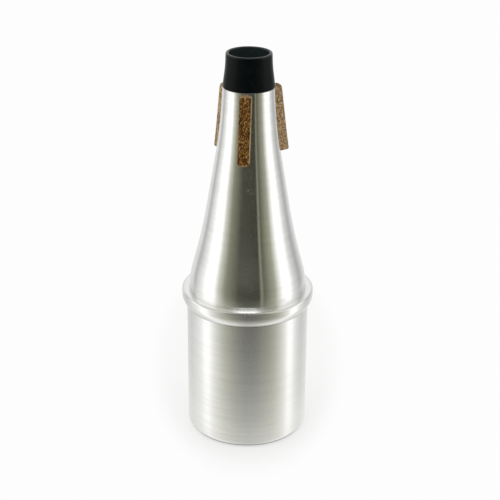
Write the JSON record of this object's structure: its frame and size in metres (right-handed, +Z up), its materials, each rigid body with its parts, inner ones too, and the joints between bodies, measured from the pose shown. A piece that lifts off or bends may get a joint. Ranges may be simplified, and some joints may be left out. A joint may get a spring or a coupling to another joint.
{
  "type": "trombone straight mute",
  "caption": "Hollow spun aluminium straight mute for a trombone bell: flared cone pushed into a beaded closed can, rubber nose collar and glued cork strips.",
  "frame": {"origin": "centre of the flat underside of the can, on the mute's axis", "axes": "+Z up along the mute's axis from the can's base to the nose; -Y is the front, where the first cork strip is"},
  "size_m": [0.1106, 0.1106, 0.332],
  "materials": {
    "can_aluminium": "drawn and satin brushed round the can, bare",
    "cone_aluminium": "spun bright, with fine tool lines round the cone, bare",
    "collar_rubber": "black, smooth, slightly glossy on the rim",
    "strip_cork": "pressed cork granules, bare, lighter on cut edges"
  },
  "bodies": {
    "root": {"can_shell": "can_aluminium", "cone_shell": "cone_aluminium", "nose_collar": "collar_rubber", "cork_front": "strip_cork", "cork_right": "strip_cork", "cork_left": "strip_cork"}
  },
  "joints": []
}
